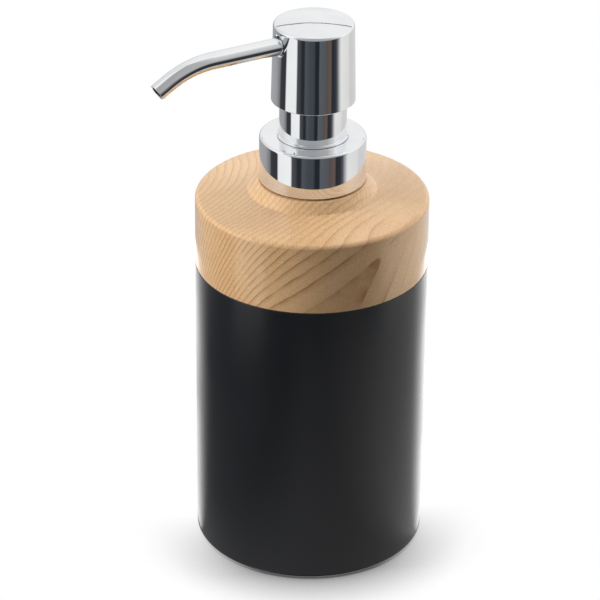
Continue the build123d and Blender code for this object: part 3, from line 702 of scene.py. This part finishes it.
class MakeCollar(Operator):
    """Turns the wooden collar, with the boss under the closure and the socket underneath"""
    bl_idname = "soap_pump.make_collar"
    bl_label = "Wooden collar"

    def execute(self, context):
        look = context.scene.soap_collar
        seam, top, side = node_low("wood_collar"), node_top("wood_collar"), node_radius("wood_collar")
        boss = node_radius("closure_cover") + look.boss_ledge
        edge, foot = seam + look.side, seam + look.side + look.rise
        socket = node_radius("shoulder_seal") + context.scene.soap_bottle.spigot_wall + FIT
        ceiling = node_top("bottle_shell") + 2 * FIT
        bore = look.bore
        outline = [
            (socket, seam), (side, seam), (side, edge), (boss + look.boss_flare, foot), (boss, top),
            (bore, top), (bore, ceiling), (socket, ceiling),
        ]
        rounds = (
            ((side, seam), context.scene.soap_bottle.seam_round), ((side, edge), look.edge_round),
            ((boss + look.boss_flare, foot), look.boss_flare * 0.15), ((boss, top), 0.4 * MM),
        )
        collar = turned("turned_collar", outline, rounds, closed=True)
        finish_piece(collar, lacquered_wood(look), "bottle", "wood", "wood_collar")
        return {"FINISHED"}


class MakeClosure(Operator):
    """Turns the chromed sleeve over the screw ring"""
    bl_idname = "soap_pump.make_closure"
    bl_label = "Closure sleeve"

    def execute(self, context):
        look = context.scene.soap_pump_look
        low, top, side = node_low("closure_cover"), node_top("closure_cover"), node_radius("closure_cover")
        inner, under = side - look.cover_wall, top - look.cover_wall
        outline = [
            (inner, low), (side, low), (side, top), (look.hole, top), (look.hole, under), (inner, under),
        ]
        rounds = (((side, low), 0.2 * MM), ((side, top), look.cover_round), ((look.hole, top), 0.15 * MM))
        sleeve = turned("closure_sleeve", outline, rounds, closed=True)
        finish_piece(sleeve, chrome(), "closure", "chrome", "closure_cover")
        return {"FINISHED"}


class MakeTower(Operator):
    """Turns the tower that the head slides over, with its foot, its guide and its plug"""
    bl_idname = "soap_pump.make_tower"
    bl_label = "Guide tower"

    def execute(self, context):
        look = context.scene.soap_pump_look
        top, foot = node_top("guide_tower"), node_radius("guide_tower")
        base = node_top("closure_cover") + 2 * FIT
        bore = node_radius("stem") + FIT
        hub, flange_top = look.hole - 0.2 * MM, node_top("pump_housing")
        guide, side = bore + look.guide_wall, look.tower_radius
        guide_top = node_top("closure_cover") + look.guide_height
        plug = node_low("guide_tower")
        step, inside, floor = base + look.foot_step, side - look.tower_wall, base + look.tower_wall
        outline = [
            (bore, plug), (look.plug_radius, plug), (look.plug_radius, flange_top), (hub, flange_top),
            (hub, base), (foot, base), (foot, step), (side, step), (side, top), (inside, top),
            (inside, floor), (guide, floor), (guide, guide_top), (bore, guide_top),
        ]
        rounds = (
            ((look.plug_radius, plug), 0.4 * MM), ((foot, step), 0.25 * MM), ((side, step), 0.4 * MM),
            ((side, top), 0.3 * MM), ((guide, guide_top), 0.5 * MM), ((bore, guide_top), 0.3 * MM),
        )
        tower = turned("chromed_tower", outline, rounds, closed=True)
        finish_piece(tower, chrome(), "pump_body", "chrome", "guide_tower")
        return {"FINISHED"}


class MakeHead(Operator):
    """Turns the head that is pressed, with its dome, and bores the hole for the spout"""
    bl_idname = "soap_pump.make_head"
    bl_label = "Pump head"

    def execute(self, context):
        look = context.scene.soap_head
        low, crown, side = node_low("head_cap"), node_top("head_cap"), node_radius("head_cap")
        edge, top_side = crown - look.dome, side - look.taper
        bore = side - look.skirt_wall
        seat, core, ceiling = bore - 0.5 * MM, node_low("head_core"), edge - look.ceiling
        dome_radius = (top_side ** 2 + look.dome ** 2) / (2 * look.dome)
        reach = math.degrees(math.asin(top_side / dome_radius))
        dome = arc((0, crown - dome_radius), dome_radius, 90 - reach, 90, 16)
        outline = [
            (0, ceiling), (seat, ceiling), (seat, core), (bore, core), (bore, low), (side, low), *dome[:-1],
            (0, crown),
        ]
        rounds = (((side, low), 0.3 * MM), ((top_side, edge), look.edge_round))
        head = turned("pump_head", outline, rounds)
        level = edge - look.spout_drop
        hole = look.spout_radius + look.hole_gap
        # The lip's cone starts inside the wall and ends outside it.
        sunk, proud = side - 1.3 * MM, side + 0.2 * MM
        self.cut_hole(head, hole, hole, level, seat - MM, side + MM)
        self.cut_hole(head, hole - 0.3 * MM, hole + look.hole_lip + 0.7 * MM, level, sunk, proud)
        bpy.ops.object.shade_smooth_by_angle(angle=math.radians(35))
        steady_normals(head)
        finish_piece(head, chrome(), "head", "chrome", "head_cap")
        return {"FINISHED"}

    def cut_hole(self, head, inner_radius, outer_radius, level, start, end):
        """Cuts a round or flaring hole along the spout's axis out of the head."""
        deselect_everything()
        bpy.ops.mesh.primitive_cone_add(
            vertices=96, radius1=inner_radius, radius2=outer_radius, depth=end - start,
            location=(0, -(start + end) / 2, level), rotation=(math.radians(90), 0, 0),
        )
        drill = bpy.context.object
        bpy.context.view_layer.objects.active = head
        head.select_set(True)
        apply_modifier(head, "BOOLEAN", operation="DIFFERENCE", object=drill, solver="EXACT")
        bpy.data.objects.remove(drill)


class MakeSpout(Operator):
    """Bends the spout's tube and gives it its wall"""
    bl_idname = "soap_pump.make_spout"
    bl_label = "Spout"

    def execute(self, context):
        look = context.scene.soap_head
        level = node_top("head_cap") - look.dome - look.spout_drop
        deselect_everything()
        bpy.ops.mesh.primitive_circle_add(
            vertices=96, radius=look.spout_radius, location=(0, -look.spout_inner, level),
            rotation=(math.radians(90), 0, 0),
        )
        spout = start_piece("bent_spout")
        straight = look.spout_straight - look.spout_inner
        bpy.ops.mesh.select_all(action="SELECT")
        bpy.ops.mesh.extrude_edges_move(TRANSFORM_OT_translate={"value": (0, -straight, 0)})
        middle = (0, -look.spout_straight, level - look.spout_bend)
        bpy.ops.mesh.spin(steps=32, angle=look.spout_angle, center=middle, axis=(-1, 0, 0))
        way = Vector((0, -math.cos(look.spout_angle), -math.sin(look.spout_angle)))
        bpy.ops.mesh.extrude_edges_move(TRANSFORM_OT_translate={"value": way * look.spout_tip})
        close_up()
        apply_modifier(spout, "SOLIDIFY", thickness=look.spout_wall, offset=-1.0, use_even_offset=True)
        apply_modifier(spout, "BEVEL", width=0.15 * MM, segments=3, limit_method="ANGLE",
                       angle_limit=math.radians(60))
        bpy.ops.object.shade_smooth_by_angle(angle=math.radians(35))
        steady_normals(spout)
        finish_piece(spout, chrome(), "head", "chrome", "spout_tube")
        return {"FINISHED"}


class MakeSpring(Operator):
    """Winds the return spring and gives it a mesh of its own"""
    bl_idname = "soap_pump.make_spring"
    bl_label = "Return spring"

    def execute(self, context):
        look = context.scene.soap_pump_look
        low, high = node_low("return_spring"), node_top("return_spring")
        wire = look.spring_wire / 2
        deselect_everything()
        bpy.ops.mesh.primitive_circle_add(
            vertices=16, radius=wire, location=(node_radius("return_spring") - wire, 0, low + wire),
            rotation=(math.radians(90), 0, 0),
        )
        spring = start_piece("coil_spring")
        bpy.ops.object.mode_set(mode="OBJECT")
        apply_modifier(spring, "SCREW", steps=40, render_steps=40, iterations=look.spring_turns,
                       screw_offset=(high - low - 2 * wire) / look.spring_turns, use_merge_vertices=True,
                       use_normal_calculate=True)
        bpy.ops.object.mode_set(mode="EDIT")
        bpy.ops.mesh.select_all(action="SELECT")
        bpy.ops.mesh.fill_holes(sides=0)
        close_up()
        finish_piece(spring, drawn_steel(), "pump_body", "steel", "return_spring")
        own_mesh(spring)
        return {"FINISHED"}


class FinishInside(Operator):
    """Gives the inner pieces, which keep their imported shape, their materials"""
    bl_idname = "soap_pump.finish_inside"
    bl_label = "Inner pieces"

    def execute(self, context):
        natural = plain_moulding("natural_polypropylene", linear("#d9d9d2"), 0.38, ior=1.49)
        soft = plain_moulding("clear_polyethylene_tube", linear("#dfe3e2"), 0.3, ior=1.51)
        rubber = plain_moulding("grey_silicone_rubber", linear("#6f7376"), 0.6, 0.3, ior=1.43)
        foam = plain_moulding("black_foam_pad", linear("#1b1b1c"), 0.92, 0.8, ior=1.4)
        steel = drawn_steel()
        finishes = {
            natural: ("neck_insert", "closure_cap", "pump_housing", "stem", "head_core", "stem_retainer"),
            soft: ("dip_tube", "piston"),
            rubber: ("shoulder_seal", "neck_gasket", "spout_seal"),
            foam: ("foot_pad",),
            steel: ("inlet_ball", "outlet_ball"),
        }
        for material, names in finishes.items():
            for name in names:
                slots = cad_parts[name].data.materials
                slots.clear()
                slots.append(material)
        return {"FINISHED"}


class MakeStudio(Operator):
    """Lays the floor, hangs the soft lights, paints the studio's walls and places the camera"""
    bl_idname = "soap_pump.make_studio"
    bl_label = "Studio"

    def execute(self, context):
        look = context.scene.soap_studio
        lay_floor(look)
        lay_bounce_card(look)
        for name, azimuth, elevation, distance, size, power in SOFTBOXES:
            hang_light(name, look, azimuth, elevation, distance, size, getattr(look, power))
        paint_walls(context.scene, look)
        place_camera(context.scene, look)
        return {"FINISHED"}


# ---------------------------------------------------------------- panel and start
OPERATORS = (
    MakeShell, MakeCollar, MakeClosure, MakeTower, MakeHead, MakeSpout, MakeSpring, FinishInside,
    MakeStudio,
)
LOOKS = {
    "soap_bottle": BottleLook, "soap_collar": CollarLook, "soap_pump_look": PumpLook, "soap_head": HeadLook,
    "soap_studio": StudioLook,
}


class SoapPumpPanel(Panel):
    """Lists the pieces in the order in which they are made"""
    bl_idname = "VIEW3D_PT_soap_pump"
    bl_label = "Soap pump dispenser"
    bl_space_type = "VIEW_3D"
    bl_region_type = "UI"
    bl_category = "Soap pump"

    def draw(self, context):
        for operator in OPERATORS:
            self.layout.operator(operator.bl_idname)
        for name, kind in LOOKS.items():
            column = self.layout.box().column()
            for size in kind.bl_rna.properties.keys():
                if size not in ("rna_type", "name"):
                    column.prop(getattr(context.scene, name), size)


def register():
    """Registers the sizes, the operators and the panel."""
    for name, kind in LOOKS.items():
        bpy.utils.register_class(kind)
        setattr(bpy.types.Scene, name, PointerProperty(type=kind))
    for kind in (*OPERATORS, SoapPumpPanel):
        bpy.utils.register_class(kind)


def unregister():
    """Takes them away again, last first."""
    for kind in (SoapPumpPanel, *reversed(OPERATORS)):
        bpy.utils.unregister_class(kind)
    for name, kind in reversed(LOOKS.items()):
        delattr(bpy.types.Scene, name)
        bpy.utils.unregister_class(kind)


def main():
    """Makes every piece and the studio."""
    register()
    bpy.ops.soap_pump.make_shell()
    bpy.ops.soap_pump.make_collar()
    bpy.ops.soap_pump.make_closure()
    bpy.ops.soap_pump.make_tower()
    bpy.ops.soap_pump.make_head()
    bpy.ops.soap_pump.make_spout()
    bpy.ops.soap_pump.make_spring()
    bpy.ops.soap_pump.finish_inside()
    bpy.ops.soap_pump.make_studio()


if __name__ == "__main__":
    main()
